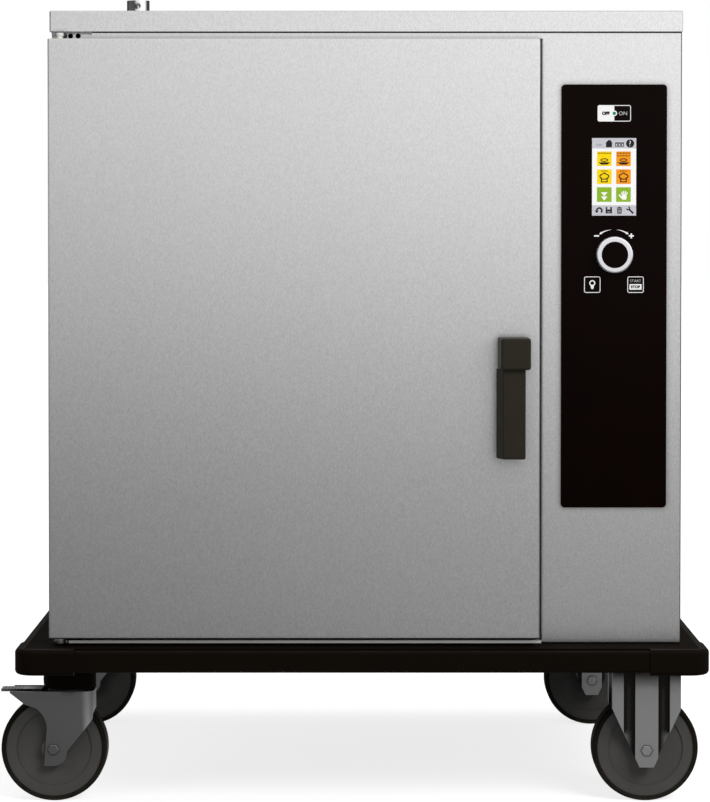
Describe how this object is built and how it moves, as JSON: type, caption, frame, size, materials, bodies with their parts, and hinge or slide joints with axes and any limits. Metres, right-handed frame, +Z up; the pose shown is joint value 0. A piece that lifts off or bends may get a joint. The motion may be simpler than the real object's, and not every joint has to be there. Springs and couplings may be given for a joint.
{
  "type": "food regeneration trolley",
  "caption": "Mobile steel oven on castors for reheating chilled meals, with a side-hung door, lever latch, runner racks, fan heating and a control column.",
  "frame": {"origin": "floor level, under the middle of the trolley's overall length and depth", "axes": "+Z up, +X to the right of someone facing the door, +Y from the door to the back"},
  "size_m": [0.8462, 0.809, 0.9682],
  "materials": {
    "satin_steel": "satin",
    "liner_steel": "satin",
    "bright_steel": "polished",
    "knob_steel": "satin",
    "bush_brass": "satin",
    "castor_steel": "satin",
    "bracket_steel": "satin",
    "chassis_paint": "satin",
    "bumper_rubber": "matte",
    "gasket_rubber": "matte",
    "tyre_rubber": "matte",
    "wheel_plastic": "matte",
    "handle_plastic": "matte",
    "panel_black": "gloss",
    "key_black": "satin",
    "display_glass": "gloss",
    "mineral_wool": "matte",
    "motor_paint": "satin",
    "module_plastic": "matte",
    "board_green": "satin",
    "lamp_glass": "gloss"
  },
  "bodies": {
    "cabinet": {"chassis_rails": "chassis_paint", "chassis_deck": "chassis_paint", "bumper_rails": "bumper_rubber", "bumper_corners": "bumper_rubber", "left_side_panel": "satin_steel", "right_side_panel": "satin_steel", "back_panel": "satin_steel", "top_lid": "satin_steel", "front_frame": "satin_steel", "control_fascia": "satin_steel", "partition_panel": "liner_steel", "chamber_liner": "liner_steel", "insulation": "mineral_wool", "fan_baffle": "liner_steel", "fan_motor": "motor_paint", "heating_element": "liner_steel", "left_runner_rack": "liner_steel", "right_runner_rack": "liner_steel", "steam_vent": "bright_steel", "cable_gland": "module_plastic", "hinge_brackets": "bright_steel", "latch_keeper": "liner_steel", "chamber_lamp": "lamp_glass", "power_module": "module_plastic", "control_panel": "panel_black", "display_screen": "display_glass", "control_board": "board_green", "swivel_castor_plates": "chassis_paint", "fixed_castor_brackets": "bracket_steel", "fixed_castor_axles": "bracket_steel", "fasteners": "bright_steel"},
    "door": {"door_outer_skin": "satin_steel", "door_inner_skin": "liner_steel", "door_insulation": "mineral_wool", "door_gasket": "gasket_rubber", "hinge_bushes": "bush_brass", "handle_bush": "bush_brass"},
    "handle": {"handle_lever": "handle_plastic", "handle_spindle": "bright_steel", "latch_cam": "castor_steel"},
    "fan": {"fan_impeller": "liner_steel"},
    "knob": {"knob_ring": "knob_steel", "knob_cap": "panel_black"},
    "power_key": {"power_key": "key_black"},
    "light_key": {"light_key": "key_black"},
    "start_stop_key": {"start_stop_key": "key_black"},
    "front_swivel": {"front_castor_fork": "castor_steel", "front_castor_axle": "castor_steel"},
    "front_pedal": {"front_brake_pedal": "castor_steel"},
    "front_swivel_wheel": {"front_swivel_hub": "wheel_plastic", "front_swivel_tyre": "tyre_rubber"},
    "front_fixed_wheel": {"front_fixed_hub": "wheel_plastic", "front_fixed_tyre": "tyre_rubber"},
    "rear_swivel": {"rear_castor_fork": "castor_steel", "rear_castor_axle": "castor_steel"},
    "rear_pedal": {"rear_brake_pedal": "castor_steel"},
    "rear_swivel_wheel": {"rear_swivel_hub": "wheel_plastic", "rear_swivel_tyre": "tyre_rubber"},
    "rear_fixed_wheel": {"rear_fixed_hub": "wheel_plastic", "rear_fixed_tyre": "tyre_rubber"}
  },
  "joints": [
    {"name": "door_swing", "type": "hinge", "parent": "cabinet", "child": "door", "pos_m": [-0.3397, -0.3415, 0.5561], "axis": [0, 0, -1], "range_deg": [0, 180]},
    {"name": "handle_turn", "type": "hinge", "parent": "door", "child": "handle", "pos_m": [0.1944, -0.3545, 0.5409], "axis": [0, 1, 0], "range_deg": [0, 90]},
    {"name": "fan_spin", "type": "hinge", "parent": "cabinet", "child": "fan", "pos_m": [0.1585, -0.00175, 0.559], "axis": [1, 0, 0], "continuous": true},
    {"name": "knob_turn", "type": "hinge", "parent": "cabinet", "child": "knob", "pos_m": [0.3132, -0.332, 0.6552], "axis": [0, -1, 0], "continuous": true},
    {"name": "power_key_press", "type": "slide", "parent": "cabinet", "child": "power_key", "axis": [0, 1, 0], "range_m": [0, 0.0008], "stiffness_N_per_m": 1500},
    {"name": "light_key_press", "type": "slide", "parent": "cabinet", "child": "light_key", "axis": [0, 1, 0], "range_m": [0, 0.0008], "stiffness_N_per_m": 1500},
    {"name": "start_stop_key_press", "type": "slide", "parent": "cabinet", "child": "start_stop_key", "axis": [0, 1, 0], "range_m": [0, 0.0008], "stiffness_N_per_m": 1500},
    {"name": "front_castor_swivel", "type": "hinge", "parent": "cabinet", "child": "front_swivel", "pos_m": [-0.3334, -0.2705, 0.133], "axis": [0, 0, 1], "continuous": true},
    {"name": "front_brake_press", "type": "hinge", "parent": "front_swivel", "child": "front_pedal", "pos_m": [-0.3714, -0.2705, 0.1285], "axis": [0, -1, 0], "range_deg": [0, 15]},
    {"name": "front_swivel_wheel_roll", "type": "hinge", "parent": "front_swivel", "child": "front_swivel_wheel", "pos_m": [-0.3526, -0.2705, 0.0635], "axis": [0, 1, 0], "continuous": true},
    {"name": "front_fixed_wheel_roll", "type": "hinge", "parent": "cabinet", "child": "front_fixed_wheel", "pos_m": [0.3559, -0.2705, 0.0635], "axis": [0, 1, 0], "continuous": true},
    {"name": "rear_castor_swivel", "type": "hinge", "parent": "cabinet", "child": "rear_swivel", "pos_m": [-0.3401, 0.2895, 0.133], "axis": [0, 0, 1], "continuous": true},
    {"name": "rear_brake_press", "type": "hinge", "parent": "rear_swivel", "child": "rear_pedal", "pos_m": [-0.3781, 0.2895, 0.1285], "axis": [0, -1, 0], "range_deg": [0, 15]},
    {"name": "rear_swivel_wheel_roll", "type": "hinge", "parent": "rear_swivel", "child": "rear_swivel_wheel", "pos_m": [-0.3593, 0.2895, 0.0635], "axis": [0, 1, 0], "continuous": true},
    {"name": "rear_fixed_wheel_roll", "type": "hinge", "parent": "cabinet", "child": "rear_fixed_wheel", "pos_m": [0.3339, 0.2895, 0.0635], "axis": [0, 1, 0], "continuous": true}
  ]
}
